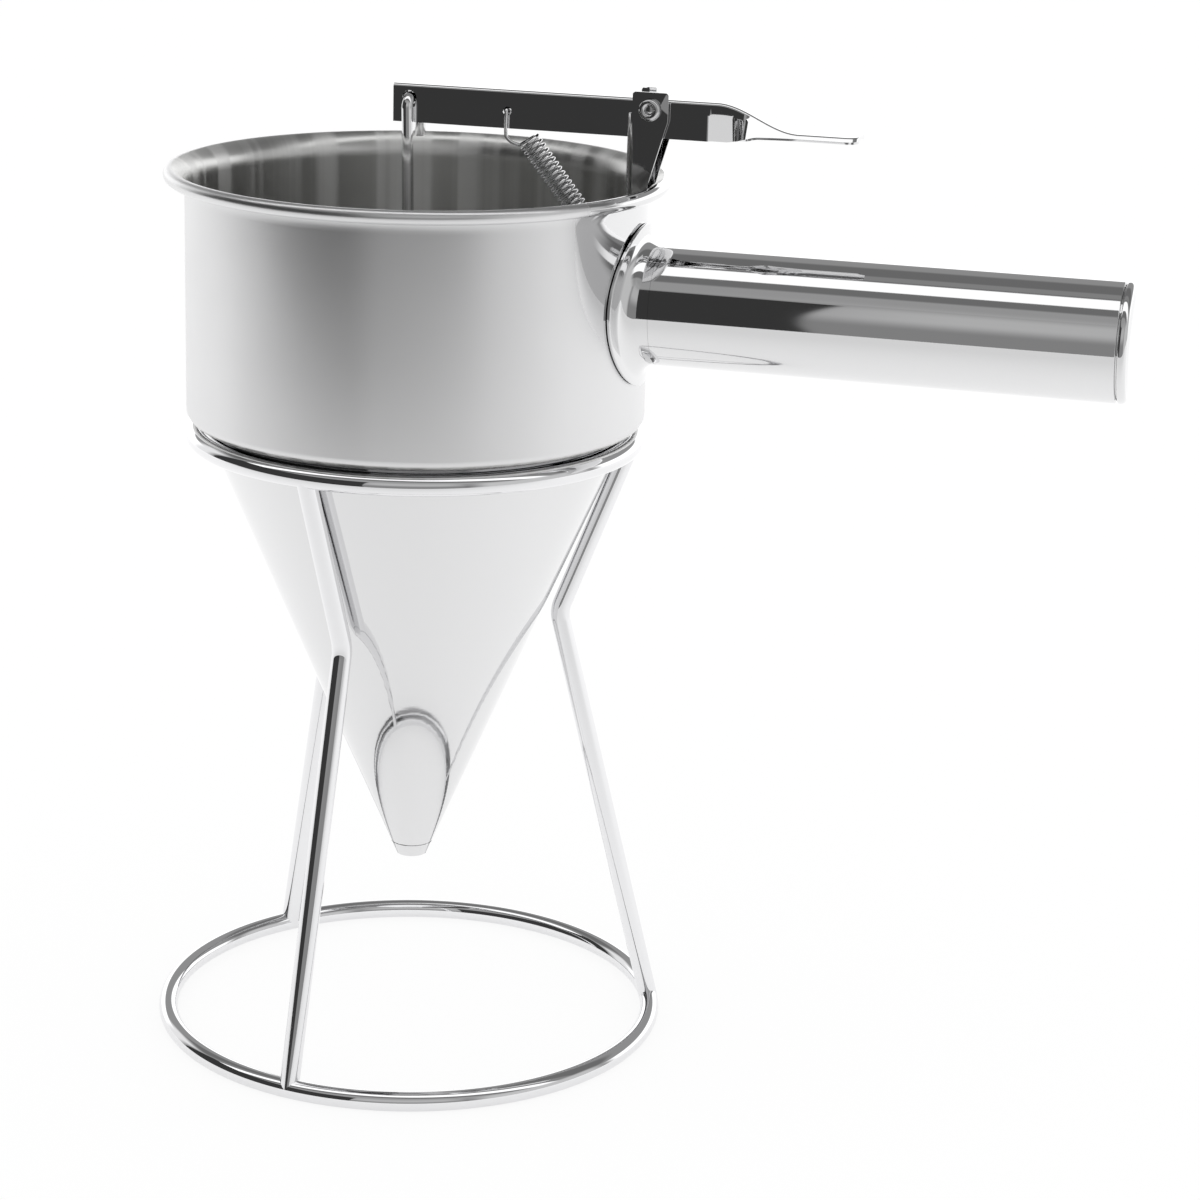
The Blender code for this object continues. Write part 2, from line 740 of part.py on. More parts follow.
clear_scene()
metal("cutter", (0.5, 0.5, 0.5), 0.5)
chrome_wire = metal("chrome_wire", (0.80, 0.80, 0.81), 0.10)
satin_steel = metal("satin_steel", (0.62, 0.62, 0.62), 0.38)
polished_steel = metal("polished_steel", (0.70, 0.70, 0.71), 0.12)
spring_steel = metal("spring_steel", (0.60, 0.60, 0.60), 0.20)

dispenser = empty("dispenser_axis", (axis_x, 0, 0))
dispenser["origin"] = (0, 0, 0)
hopper = empty("hopper_seat", (0, 0, top_ring_height), dispenser)
hopper["origin"] = (0, 0, top_ring_height)
lever_axis = empty("lever_pivot_axis", (pivot_reach, 0, pivot_height - top_ring_height), hopper)
lever_axis["origin"] = (pivot_reach, 0, pivot_height)
hook_axis = empty("rod_hook_axis", (hook_reach - pivot_reach, 0, hook_height - pivot_height),
                  lever_axis)
hook_axis["origin"] = (hook_reach, 0, hook_height)

build_stand(chrome_wire, dispenser)
build_bowl(satin_steel, hopper)
build_cone(polished_steel, hopper)
build_nozzle(polished_steel, hopper)
build_handle(polished_steel, hopper)
bracket_web = build_bracket(polished_steel, hopper)
build_rivet(polished_steel, hopper)
build_lever(polished_steel, lever_axis)
build_stopper(polished_steel, hook_axis)
build_spring(spring_steel, hopper, bracket_web)
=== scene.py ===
import json
from math import acos, cos, degrees, hypot, pi, radians, sin, sqrt, tan

import bmesh
import bpy
from mathutils import Matrix, Vector


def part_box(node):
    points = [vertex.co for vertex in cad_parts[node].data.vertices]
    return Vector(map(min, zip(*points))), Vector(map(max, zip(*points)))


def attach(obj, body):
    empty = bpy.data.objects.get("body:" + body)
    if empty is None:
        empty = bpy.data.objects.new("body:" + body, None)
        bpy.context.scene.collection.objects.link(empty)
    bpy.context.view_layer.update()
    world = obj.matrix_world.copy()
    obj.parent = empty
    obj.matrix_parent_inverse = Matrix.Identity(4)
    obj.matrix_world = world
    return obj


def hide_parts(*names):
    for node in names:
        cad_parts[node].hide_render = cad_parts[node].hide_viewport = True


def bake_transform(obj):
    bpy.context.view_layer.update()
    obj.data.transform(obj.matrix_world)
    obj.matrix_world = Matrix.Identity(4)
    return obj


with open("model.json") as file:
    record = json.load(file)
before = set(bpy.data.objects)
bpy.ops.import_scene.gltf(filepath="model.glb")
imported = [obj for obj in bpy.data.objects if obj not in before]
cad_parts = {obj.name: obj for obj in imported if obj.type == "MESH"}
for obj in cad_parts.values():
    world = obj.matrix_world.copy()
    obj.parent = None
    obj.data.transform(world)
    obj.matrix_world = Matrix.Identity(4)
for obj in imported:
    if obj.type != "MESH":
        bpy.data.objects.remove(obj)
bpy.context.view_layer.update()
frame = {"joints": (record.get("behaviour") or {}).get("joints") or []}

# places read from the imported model: the funnel's own axis and the two hinges
axisLow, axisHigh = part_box("stand_base_ring")
axisX = (axisLow.x + axisHigh.x) / 2
joints = {joint["name"]: joint for joint in frame["joints"]}
pivot = Vector(joints["lever_pivot"]["pos_m"])
hookPoint = Vector(joints["stopper_swing"]["pos_m"])
pivotReach = pivot.x - axisX
hookReach = hookPoint.x - axisX

weldDistance = 0.000002
holeSegments = 48
wireSharp = 60      # a wire stays smooth up to this angle


# camera: the photograph's own viewpoint, measured from the funnel's axis on the table
camera = {"right": 0.3003, "back": -0.9242, "up": 0.4259, "pan": 14.638, "tilt": 16.588,
          "roll": 1.573, "sensor": 36, "lens": 98.99, "near": 0.05, "far": 20}


def placeCamera():
    data = bpy.data.cameras.new("photoCamera")
    data.sensor_width = camera["sensor"]
    data.lens = camera["lens"]
    data.clip_start = camera["near"]
    data.clip_end = camera["far"]
    item = bpy.data.objects.new("photoCamera", data)
    bpy.context.scene.collection.objects.link(item)
    turn = (Matrix.Rotation(radians(camera["pan"]), 4, "Z")
            @ Matrix.Rotation(radians(90 - camera["tilt"]), 4, "X")
            @ Matrix.Rotation(radians(camera["roll"]), 4, "Z"))
    spot = Matrix.Translation((axisX + camera["right"], camera["back"], camera["up"]))
    item.matrix_world = spot @ turn
    bpy.context.scene.camera = item


placeCamera()
print("camera placed")


# small helpers for the node graphs
def newMaterial(name):
    material = bpy.data.materials.new(name)
    material.use_nodes = True
    graph = material.node_tree
    shader = graph.nodes["Principled BSDF"]
    shader.inputs["Metallic"].default_value = 1
    return material, graph, shader


def addNode(graph, kind, settings=None, values=None):
    node = graph.nodes.new(kind)
    for key, value in (settings or {}).items():
        setattr(node, key, value)
    for key, value in (values or {}).items():
        node.inputs[key].default_value = value
    return node


def mapRange(graph, source, fromLow, fromHigh, toLow, toHigh, smooth=True):
    node = addNode(graph, "ShaderNodeMapRange",
                   {"interpolation_type": "SMOOTHSTEP" if smooth else "LINEAR"},
                   {"From Min": fromLow, "From Max": fromHigh, "To Min": toLow, "To Max": toHigh})
    graph.links.new(source, node.inputs["Value"])
    return node.outputs["Result"]


def mathNode(graph, operation, first, second=None):
    node = addNode(graph, "ShaderNodeMath", {"operation": operation})
    for socket, value in zip(node.inputs, (first, second)):
        if value is None:
            continue
        if isinstance(value, (int, float)):
            socket.default_value = value
        else:
            graph.links.new(value, socket)
    return node.outputs[0]


def mixSocket(graph, kind, share, under, over):
    mix = addNode(graph, "ShaderNodeMix", {"data_type": kind})
    sockets = [socket for socket in mix.inputs if socket.enabled and socket.name in "AB"]
    graph.links.new(share, mix.inputs["Factor"])
    for socket, value in zip(sockets, (under, over)):
        if isinstance(value, bpy.types.NodeSocket):
            graph.links.new(value, socket)
        else:
            socket.default_value = value
    return next(socket for socket in mix.outputs if socket.enabled)


def mixValues(graph, share, under, over):
    return mixSocket(graph, "FLOAT", share, under, over)


def mixColors(graph, share, under, over):
    return mixSocket(graph, "RGBA", share, under, over)


def noiseAt(graph, place, scale, stretch=(1, 1, 1), detail=4):
    mapping = addNode(graph, "ShaderNodeMapping")
    mapping.inputs["Scale"].default_value = stretch
    graph.links.new(place, mapping.inputs["Vector"])
    noise = addNode(graph, "ShaderNodeTexNoise", None, {"Scale": scale, "Detail": detail})
    graph.links.new(mapping.outputs["Vector"], noise.inputs["Vector"])
    return noise.outputs["Fac"]


def aroundAxis(graph):
    coords = addNode(graph, "ShaderNodeTexCoord")
    centred = addNode(graph, "ShaderNodeMapping", {"vector_type": "POINT"})
    centred.inputs["Location"].default_value = (-axisX, 0, 0)
    graph.links.new(coords.outputs["Object"], centred.inputs["Vector"])
    return centred.outputs["Vector"]


def addBump(graph, shader, height, strength, distance):
    bump = addNode(graph, "ShaderNodeBump", None, {"Strength": strength, "Distance": distance})
    graph.links.new(height, bump.inputs["Height"])
    graph.links.new(bump.outputs["Normal"], shader.inputs["Normal"])


mirror = {"color": (0.74, 0.74, 0.745, 1), "roughness": (0.025, 0.055), "cloudScale": 22,
          "spread": (0.3, 0.7), "scratchScale": 340, "scratchStretch": (0.05, 1, 1),
          "scratchDetail": 2, "bump": 0.018, "depth": 0.0002}
rivetFinish = {**mirror, "color": (0.60, 0.60, 0.605, 1), "roughness": (0.10, 0.18)}


def mirrorSteel(name, finish):
    material, graph, shader = newMaterial(name)
    shader.inputs["Base Color"].default_value = finish["color"]
    place = aroundAxis(graph)
    cloud = noiseAt(graph, place, finish["cloudScale"])
    rough = mapRange(graph, cloud, *finish["spread"], *finish["roughness"])
    graph.links.new(rough, shader.inputs["Roughness"])
    scratches = noiseAt(graph, place, finish["scratchScale"], finish["scratchStretch"],
                        finish["scratchDetail"])
    addBump(graph, shader, scratches, finish["bump"], finish["depth"])
    return material


wireFinish = {"color": (0.80, 0.80, 0.81, 1), "roughness": (0.02, 0.05), "cloudScale": 60,
              "spread": (0.35, 0.65), "bump": 0.02, "depth": 0.0002}


def chromeWire():
    material, graph, shader = newMaterial("chromeWire")
    shader.inputs["Base Color"].default_value = wireFinish["color"]
    place = aroundAxis(graph)
    cloud = noiseAt(graph, place, wireFinish["cloudScale"])
    rough = mapRange(graph, cloud, *wireFinish["spread"], *wireFinish["roughness"])
    graph.links.new(rough, shader.inputs["Roughness"])
    addBump(graph, shader, cloud, wireFinish["bump"], wireFinish["depth"])
    return material


springFinish = {"color": (0.76, 0.76, 0.765, 1), "roughness": (0.12, 0.22), "grainScale": 900,
                "spread": (0.3, 0.7), "bump": 0.05, "depth": 0.0001}


def springSteel():
    material, graph, shader = newMaterial("springSteel")
    shader.inputs["Base Color"].default_value = springFinish["color"]
    grain = noiseAt(graph, aroundAxis(graph), springFinish["grainScale"])
    rough = mapRange(graph, grain, *springFinish["spread"], *springFinish["roughness"])
    graph.links.new(rough, shader.inputs["Roughness"])
    addBump(graph, shader, grain, springFinish["bump"], springFinish["depth"])
    return material


# The bowl is satin outside, buffed bright round the handle's collar, and rougher inside and on the
# lip.
# There its colour is darker, a painted shade, with lighter upright streaks that are painted
# reflections.
satin = {"color": (0.735, 0.735, 0.74, 1), "roughness": (0.27, 0.33), "grainScale": 30,
         "grainStretch": (1, 1, 55), "bump": 0.02, "depth": 0.0003, "cloudScale": 14,
         "spread": (0.3, 0.7), "streakSpread": (0.42, 0.62),
         "patchHalfWidth": 0.0385, "patchHeight": 0.0415, "patchTop": 0.262, "patchPower": 2.6,
         "patchEdge": 0.03, "patchRoughness": 0.05,
         # painted shade inside the bowl, with lighter streaks as painted reflections
         "paintedShadeInsideColor": (0.60, 0.60, 0.59, 1), "paintedReflectionStreakColor": (0.80, 0.80, 0.79, 1),
         "insideRoughness": (0.28, 0.44), "streakScale": 7, "streakDetail": 6,
         "insideEdge": 0.0002, "lipReach": 0.0041, "lipRise": 0.0074, "lipPower": 2.5}


def satinSteel():
    material, graph, shader = newMaterial("satinSteel")
    place = aroundAxis(graph)
    parts = addNode(graph, "ShaderNodeSeparateXYZ")
    graph.links.new(place, parts.inputs["Vector"])
    east, north, height = (parts.outputs[axis] for axis in "XYZ")
    turn = mathNode(graph, "ARCTAN2", north, east)

    grain = noiseAt(graph, place, satin["grainScale"], satin["grainStretch"])
    cloud = noiseAt(graph, place, satin["cloudScale"])
    rough = mapRange(graph, cloud, *satin["spread"], *satin["roughness"])

    across = mathNode(graph, "MULTIPLY", turn, bowl["radius"] / satin["patchHalfWidth"])
    down = mathNode(graph, "SUBTRACT", satin["patchTop"], height)
    down = mathNode(graph, "MAXIMUM", mathNode(graph, "DIVIDE", down, satin["patchHeight"]), 0)
    powers = [mathNode(graph, "POWER", mathNode(graph, "ABSOLUTE", part), satin["patchPower"])
              for part in (across, down)]
    patch = mapRange(graph, mathNode(graph, "ADD", *powers), 1 - satin["patchEdge"],
                     1 + satin["patchEdge"], 1, 0)
    rough = mixValues(graph, patch, rough, satin["patchRoughness"])

    squares = [mathNode(graph, "POWER", part, 2) for part in (east, north)]
    radius = mathNode(graph, "SQRT", mathNode(graph, "ADD", *squares))
    lift = mathNode(graph, "SUBTRACT", height, bowl["rim"] - bowl["flare"])
    lift = mathNode(graph, "MAXIMUM", mathNode(graph, "DIVIDE", lift, satin["lipRise"]), 0)
    lip = mathNode(graph, "MULTIPLY", mathNode(graph, "POWER", lift, satin["lipPower"]),
                   satin["lipReach"])
    past = mathNode(graph, "SUBTRACT", mathNode(graph, "SUBTRACT", radius, lip),
                    bowl["radius"] - bowl["wall"] / 2)
    inside = mapRange(graph, past, -satin["insideEdge"], satin["insideEdge"], 1, 0)
    upright = addNode(graph, "ShaderNodeCombineXYZ")
    graph.links.new(mathNode(graph, "COSINE", turn), upright.inputs["X"])
    graph.links.new(mathNode(graph, "SINE", turn), upright.inputs["Y"])
    streak = noiseAt(graph, upright.outputs["Vector"], satin["streakScale"],
                     detail=satin["streakDetail"])
    streak = mapRange(graph, streak, *satin["streakSpread"], 0, 1)
    insideRough = mapRange(graph, streak, 0, 1, *satin["insideRoughness"])
    rough = mixValues(graph, inside, rough, insideRough)
    graph.links.new(rough, shader.inputs["Roughness"])

    # painted shade inside the bowl and on the lip, with lighter upright streaks as painted
    # reflections
    paintedShadeAndReflections = mixColors(graph, streak, satin["paintedShadeInsideColor"], satin["paintedReflectionStreakColor"])
    graph.links.new(mixColors(graph, inside, satin["color"], paintedShadeAndReflections), shader.inputs["Base Color"])
    plain = mathNode(graph, "SUBTRACT", 1, mathNode(graph, "MAXIMUM", patch, inside))
    outsideGrain = mathNode(graph, "MULTIPLY", grain, plain)
    addBump(graph, shader, outsideGrain, satin["bump"], satin["depth"])
    return material


# helpers for the pieces
def spunProfile(points, segments, closed=True):
    bm = bmesh.new()
    corners = [bm.verts.new((radius, 0, height)) for radius, height in points]
    ends = corners[1:] + corners[:1] if closed else corners[1:]
    rims = [bm.edges.new(pair) for pair in zip(corners, ends)]
    bmesh.ops.spin(bm, geom=corners + rims, axis=(0, 0, 1), cent=(0, 0, 0),
                   angle=2 * pi, steps=segments, use_merge=True)
    bmesh.ops.remove_doubles(bm, verts=bm.verts, dist=weldDistance)
    return bm


def layAlongX(bm, height):
    turn = Matrix.Translation((0, 0, height)) @ Matrix.Rotation(pi / 2, 4, "Y")
    bmesh.ops.transform(bm, matrix=turn, verts=bm.verts)


def layAlongY(bm, reach, height):
    turn = Matrix.Translation((reach, 0, height)) @ Matrix.Rotation(-pi / 2, 4, "X")
    bmesh.ops.transform(bm, matrix=turn, verts=bm.verts)


def arc(centre, radius, start, end, steps):
    angles = [radians(start + (end - start) * step / steps) for step in range(steps + 1)]
    return [(centre[0] + radius * cos(angle), centre[1] + radius * sin(angle)) for angle in angles]


def curveBetween(first, control, last, steps):
    shares = [step / steps for step in range(steps + 1)]
    return [tuple((1 - share) ** 2 * a + 2 * share * (1 - share) * b + share ** 2 * c
                  for a, b, c in zip(first, control, last)) for share in shares]


def keepFlatFaces(mesh):
    normals = [Vector((0, 0, 0)) for vert in mesh.vertices]
    for face in mesh.polygons:
        for index in face.vertices:
            normals[index] += face.normal * face.area ** 2
    mesh.normals_split_custom_set_from_vertices([normal.normalized() for normal in normals])


def linkPiece(name, bm, material, body, nodes, sharp=35, softened=False):
    bmesh.ops.translate(bm, verts=bm.verts, vec=(axisX, 0, 0))
    bmesh.ops.recalc_face_normals(bm, faces=bm.faces)
    mesh = bpy.data.meshes.new(name)
    bm.to_mesh(mesh)
    bm.free()
    mesh.shade_smooth()
    if softened:
        keepFlatFaces(mesh)
    else:
        mesh.set_sharp_from_angle(angle=radians(sharp))
    mesh.materials.append(material)
    item = bpy.data.objects.new(name, mesh)
    bpy.context.scene.collection.objects.link(item)
    if body:
        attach(item, body)
    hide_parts(*nodes)
    return item


def roundedPath(corners, radii, steps):
    points = [Vector(corners[0])]
    for before, corner, after, radius in zip(corners, corners[1:], corners[2:], radii):
        corner = Vector(corner)
        inward = (Vector(before) - corner).normalized()
        outward = (Vector(after) - corner).normalized()
        halfAngle = acos(max(-1, min(1, inward.dot(outward)))) / 2
        middle = corner + (inward + outward).normalized() * radius / sin(halfAngle)
        start = corner + inward * radius / tan(halfAngle) - middle
        end = corner + outward * radius / tan(halfAngle) - middle
        points += [middle + start.slerp(end, step / steps) * radius for step in range(steps + 1)]
    points.append(Vector(corners[-1]))
    return points


def flowingPath(knots, stepLength):
    padded = [2 * knots[0] - knots[1]] + knots + [2 * knots[-1] - knots[-2]]
    points = []
    for before, start, end, after in zip(padded, padded[1:], padded[2:], padded[3:]):
        count = max(1, round((end - start).length / stepLength))
        for share in [index / count for index in range(count)]:
            points.append(0.5 * (2 * start + (end - before) * share
                                 + (2 * before - 5 * start + 4 * end - after) * share ** 2
                                 + (3 * start - before - 3 * end + after) * share ** 3))
    points.append(knots[-1])
    return points


def drawnWire(points, radius, resolution):
    curve = bpy.data.curves.new("wire", "CURVE")
    curve.dimensions = "3D"
    curve.bevel_depth = radius
    curve.bevel_resolution = resolution
    curve.use_fill_caps = True
    spline = curve.splines.new("POLY")
    spline.points.add(len(points) - 1)
    for target, point in zip(spline.points, points):
        target.co = (*point, 1)
    holder = bpy.data.objects.new("wire", curve)
    bm = bmesh.new()
    bm.from_mesh(holder.to_mesh())
    bpy.data.objects.remove(holder)
    bmesh.ops.remove_doubles(bm, verts=bm.verts, dist=weldDistance)
    return bm


chrome = chromeWire()
polished = mirrorSteel("mirrorSteel", mirror)
spring = springSteel()

# stand: two wire rings and three bent legs
stand = {"wireRadius": 0.00299, "topRadius": 0.0667, "topHeight": 0.1888, "baseRadius": 0.0762,
         "waistRadius": 0.0446, "waistHeight": 0.1320, "bend": 0.010, "firstLeg": 20,
         "segments": 256, "sides": 32, "bendSteps": 16, "legDetail": 12}


def wireRing(radius, height):
    bm = bmesh.new()
    section = bmesh.ops.create_circle(bm, cap_ends=False, radius=stand["wireRadius"],
                                      segments=stand["sides"])
    turn = Matrix.Translation((radius, 0, height)) @ Matrix.Rotation(pi / 2, 4, "X")
    bmesh.ops.transform(bm, matrix=turn, verts=section["verts"])
    bmesh.ops.spin(bm, geom=section["verts"] + bm.edges[:], axis=(0, 0, 1), cent=(0, 0, 0),
                   angle=2 * pi, steps=stand["segments"], use_merge=True)
    bmesh.ops.remove_doubles(bm, verts=bm.verts, dist=weldDistance)
    return bm


def buildStand():
    baseHeight = stand["wireRadius"]
    linkPiece("topRing", wireRing(stand["topRadius"], stand["topHeight"]), chrome, "stand",
              ["stand_top_ring"])
    linkPiece("baseRing", wireRing(stand["baseRadius"], baseHeight), chrome, "stand",
              ["stand_base_ring"])
    for number in range(3):
        angle = radians(stand["firstLeg"] + 120 * number)
        stops = [(stand["topRadius"], stand["topHeight"]),
                 (stand["waistRadius"], stand["waistHeight"]),
                 (stand["baseRadius"], baseHeight)]
        corners = [(radius * cos(angle), radius * sin(angle), height) for radius, height in stops]
        path = roundedPath(corners, [stand["bend"]], stand["bendSteps"])
        bm = drawnWire(path, stand["wireRadius"], stand["legDetail"])
        linkPiece(f"leg{number + 1}", bm, chrome, "stand",
                  [f"stand_leg_{number + 1}"], wireSharp)


buildStand()
print("stand built")

# funnel
bowl = {"radius": 0.0688, "wall": 0.0008, "floor": 0.1931, "corner": 0.0032, "rim": 0.2665,
        "beadRadius": 0.00205, "rimRadius": 0.0750, "flare": 0.0055, "skirt": 0.006,
        "beadStart": 205, "beadEnd": 472, "beadSteps": 28, "insideSteps": 12,
        "outsideSteps": 10, "cornerSteps": 10, "segments": 288}
cone = {"halfAngle": radians(23.25), "wall": 0.0008, "tipRadius": 0.0047, "tip": 0.0531,
        "gap": 0.0003}
nozzle = {"height": 0.0040, "bore": 0.0034, "spigot": 0.0045, "lip": 0.0006, "segments": 160}


def coneOuter(height):
    return cone["tipRadius"] + (height - cone["tip"]) * tan(cone["halfAngle"])


def coneInner(height):
    return coneOuter(height) - cone["wall"] / cos(cone["halfAngle"])


def buildBowl():
    slant = cos(cone["halfAngle"])
    wall = bowl["wall"]
    inner = bowl["radius"] - wall
    rim = bowl["rim"]
    bead = arc((bowl["rimRadius"] - bowl["beadRadius"], rim), bowl["beadRadius"],
               bowl["beadStart"], bowl["beadEnd"], bowl["beadSteps"])
    inside = curveBetween(bead[-1], (inner, rim), (inner, rim - bowl["flare"]),
                          bowl["insideSteps"])
    outside = curveBetween((bowl["radius"], rim - bowl["flare"]), (bowl["radius"], rim),
                           bead[0], bowl["outsideSteps"])
    middle = (bowl["radius"] - bowl["corner"], bowl["floor"] + bowl["corner"])
    bottom = bowl["floor"] - bowl["skirt"]
    skirt = [(coneInner(height) - cone["gap"] / slant, height)
             for height in (bottom, bowl["floor"])]
    liner = [(radius - wall / slant, height) for radius, height in skirt]
    points = bead + inside[1:]
    points += arc(middle, bowl["corner"] - wall, 0, -90, bowl["cornerSteps"])
    points += [(liner[1][0], bowl["floor"] + wall)]
    points += [liner[0], skirt[0], skirt[1]]
    points += arc(middle, bowl["corner"], -90, 0, bowl["cornerSteps"])
    points += outside[:-1]
    linkPiece("bowl", spunProfile(points, bowl["segments"]), satinSteel(), "hopper",
              ["hopper_bowl"])


def buildCone():
    top = bowl["floor"] - cone["gap"]
    bottom = cone["tip"] + nozzle["height"] + cone["gap"]
    points = [(coneOuter(top), top), (coneOuter(bottom), bottom),
              (coneInner(bottom), bottom), (coneInner(top), top)]
    linkPiece("cone", spunProfile(points, bowl["segments"]), polished, "hopper",
              ["hopper_cone"])


buildBowl()
buildCone()
print("funnel built")

# handle: a saddle-shaped collar, a tube and a rounded end cap
handle = {"radius": 0.0175, "wall": 0.001, "height": 0.2330, "reach": 0.2130, "collar": 0.024,
          "collarWall": 0.001, "fillet": 0.0042, "land": 0.0009, "spigot": 0.008,
          "capHeight": 0.0030, "capEdge": 0.0018, "capFlat": 0.012, "capDome": 0.0004,
          "gap": 0.0003, "edge": 0.0003, "joint": 0.00005, "groove": 0.00045,
          "capStart": 0.0005, "edgeSteps": 4, "filletSteps": 16, "capStartSteps": 6,
          "capEdgeSteps": 12, "capFlatSteps": 6, "capSharp": 50, "segments": 224}


def buildHandle():
    gap = handle["gap"]
    foot = bowl["radius"] + gap
    face = foot + handle["collarWall"]
    shoulder = face + handle["fillet"] + handle["land"]
    spigot = handle["radius"] - handle["wall"] - gap
    bore = spigot - handle["wall"]
    edge = handle["edge"]
    points = [(bore, foot), (handle["collar"] - edge, foot)]
    points += arc((handle["collar"] - edge, face - edge), edge, 0, 90, handle["edgeSteps"])
    points += arc((handle["radius"] + handle["fillet"], face + handle["fillet"]),
                  handle["fillet"], -90, -180, handle["filletSteps"])
    points += [(handle["radius"], shoulder), (spigot, shoulder),
               (spigot, shoulder + handle["spigot"]), (bore, shoulder + handle["spigot"])]
    bm = spunProfile(points, handle["segments"])
    layAlongX(bm, handle["height"])
    for vert in bm.verts:
        drop = bowl["radius"] - sqrt(bowl["radius"] ** 2 - vert.co.y ** 2)
        share = max(0, min(1, (shoulder - vert.co.x) / handle["land"]))
        vert.co.x -= drop * share
    linkPiece("handleCollar", bm, polished, "hopper", ["handle_collar"])

    seam = handle["reach"] - handle["capHeight"]
    inner = handle["radius"] - handle["wall"]
    start, end = shoulder + handle["joint"], seam - handle["groove"]
    points = [(inner, start), (handle["radius"], start)]
    points += arc((handle["radius"] - edge, end - edge), edge, 0, 90, handle["edgeSteps"])
    points += [(inner, end)]
    bm = spunProfile(points, handle["segments"])
    layAlongX(bm, handle["height"])
    linkPiece("handleTube", bm, polished, "hopper", ["handle_tube"])

    points = [(0, handle["reach"] - handle["wall"]), (bore, seam),
              (bore, seam - handle["spigot"]), (spigot, seam - handle["spigot"]),
              (spigot, seam)]
    points += arc((handle["radius"] - handle["capStart"], seam + handle["capStart"]),
                  handle["capStart"], -90, 0, handle["capStartSteps"])
    corner = (handle["radius"] - handle["capEdge"],
              handle["reach"] - handle["capDome"] - handle["capEdge"])
    points += arc(corner, handle["capEdge"], 0, 90, handle["capEdgeSteps"])
    points += curveBetween(points[-1], ((points[-1][0] + handle["capFlat"]) / 2, handle["reach"]),
                           (handle["capFlat"], handle["reach"]), handle["capFlatSteps"])[1:]
    points += [(0, handle["reach"])]
    bm = spunProfile(points, handle["segments"], closed=False)
    layAlongX(bm, handle["height"])
    linkPiece("handleCap", bm, polished, "hopper", ["handle_end_cap"],
              handle["capSharp"])


buildHandle()
print("handle built")


def prism(outline, along, low, high):
    order = {"Y": (0, 2, 1), "Z": (0, 1, 2)}[along]
    bm = bmesh.new()
    corners = []
    for first, second in outline:
        place = [0, 0, 0]
        place[order[0]], place[order[1]], place[order[2]] = first, second, low
        corners.append(bm.verts.new(place))
    face = bm.faces.new(corners)
    grown = bmesh.ops.extrude_face_region(bm, geom=[face])
    top = [item for item in grown["geom"] if isinstance(item, bmesh.types.BMVert)]
    step = Vector((0, 0, 0))
    step[order[2]] = high - low
    bmesh.ops.translate(bm, verts=top, vec=step)
    bmesh.ops.recalc_face_normals(bm, faces=bm.faces)
    return bm


def drill(radius, reach, height, halfLength):
    points = [(0, -halfLength), (radius, -halfLength), (radius, halfLength), (0, halfLength)]
    bm = spunProfile(points, holeSegments, closed=False)
    layAlongY(bm, reach, height)
    bmesh.ops.recalc_face_normals(bm, faces=bm.faces)
    return bm


def holderOf(name, bm):
    mesh = bpy.data.meshes.new(name)
    bm.to_mesh(mesh)
    bm.free()
    item = bpy.data.objects.new(name, mesh)
    bpy.context.scene.collection.objects.link(item)
    return item


def cutAndSoften(bm, cutters, softening, angle=30, segments=2):
    work = holderOf("work", bm)
    helpers = []
    for operation, cutter in cutters:
        helper = holderOf("helper", cutter)
        step = work.modifiers.new("cut", "BOOLEAN")
        step.operation = operation
        step.solver = "EXACT"
        step.object = helper
        helpers.append(helper)
    rounding = work.modifiers.new("soften", "BEVEL")
    rounding.width = softening
    rounding.segments = segments
    rounding.limit_method = "ANGLE"
    rounding.angle_limit = radians(angle)
    rounding.use_clamp_overlap = True
    shaped = work.evaluated_get(bpy.context.evaluated_depsgraph_get())
    bm = bmesh.new()
    bm.from_mesh(shaped.to_mesh())
    for item in helpers + [work]:
        bpy.data.objects.remove(item)
    bmesh.ops.remove_doubles(bm, verts=bm.verts, dist=weldDistance)
    return bm


# thumb lever: a folded channel whose sides lean out and fade into a flat thumb tab, with a
# shallow pinch in each side where they start to lean
lever = {"width": 0.0084, "wall": 0.0010, "height": 0.0111, "bend": 0.0012, "top": 0.2937,
         "nose": 0.0049, "taperStart": 0.0905, "taper": 0.0245, "splayStart": 0.0950,
         "splay": 0.0070, "splayAngle": radians(46), "sideStart": 0.0930, "side": 0.0110,
         "tabDrop": 0.00705, "tabWidth": 0.0150, "tabLip": 0.0001, "tabReach": 0.1320,
         "tabCorner": 0.0035, "steps": 80, "tipSteps": 16, "bendSteps": (8, 4),
         "pinch": 0.0011, "pinchStart": 0.0878, "pinchEnd": 0.0968, "pinchEdge": 0.0010,
         "pinchHeight": 0.75, "pivotHole": 0.0017, "hookHole": 0.0022, "springHole": 0.0013,
         "soften": 0.00012}


def ease(share):
    share = max(0, min(1, share))
    return share * share * (3 - 2 * share)


def leverCut(reach, width, lean, pinch, top, bottom):
    bend, wall = lever["bend"], lever["wall"]
    outerSteps, innerSteps = lever["bendSteps"]
    centre = width / 2 - bend
    run = (top - bend + bend * sin(lean) - bottom) / cos(lean)
    start = (centre + bend * cos(lean), top - bend + bend * sin(lean))
    down = (sin(lean), -cos(lean))
    middle = [start[axis] + down[axis] * run * (1 - lever["pinchHeight"]) for axis in (0, 1)]
    foot = [start[axis] + down[axis] * run for axis in (0, 1)]
    foot[0] -= pinch
    inward = (wall * cos(lean), wall * sin(lean))
    outer = arc((centre, top - bend), bend, 90, degrees(lean), outerSteps) + [middle, foot]
    inner = arc((centre, top - bend), bend - wall, degrees(lean), 90, innerSteps)
    inner = [(foot[0] - inward[0], foot[1] - inward[1]),
             (middle[0] - inward[0], middle[1] - inward[1])] + inner
    half = outer + inner
    mirrored = [(-side, height) for side, height in half]
    ring = mirrored[:len(outer)][::-1] + outer + inner + mirrored[len(outer):][::-1]
    return [(reach, side, height) for side, height in ring]


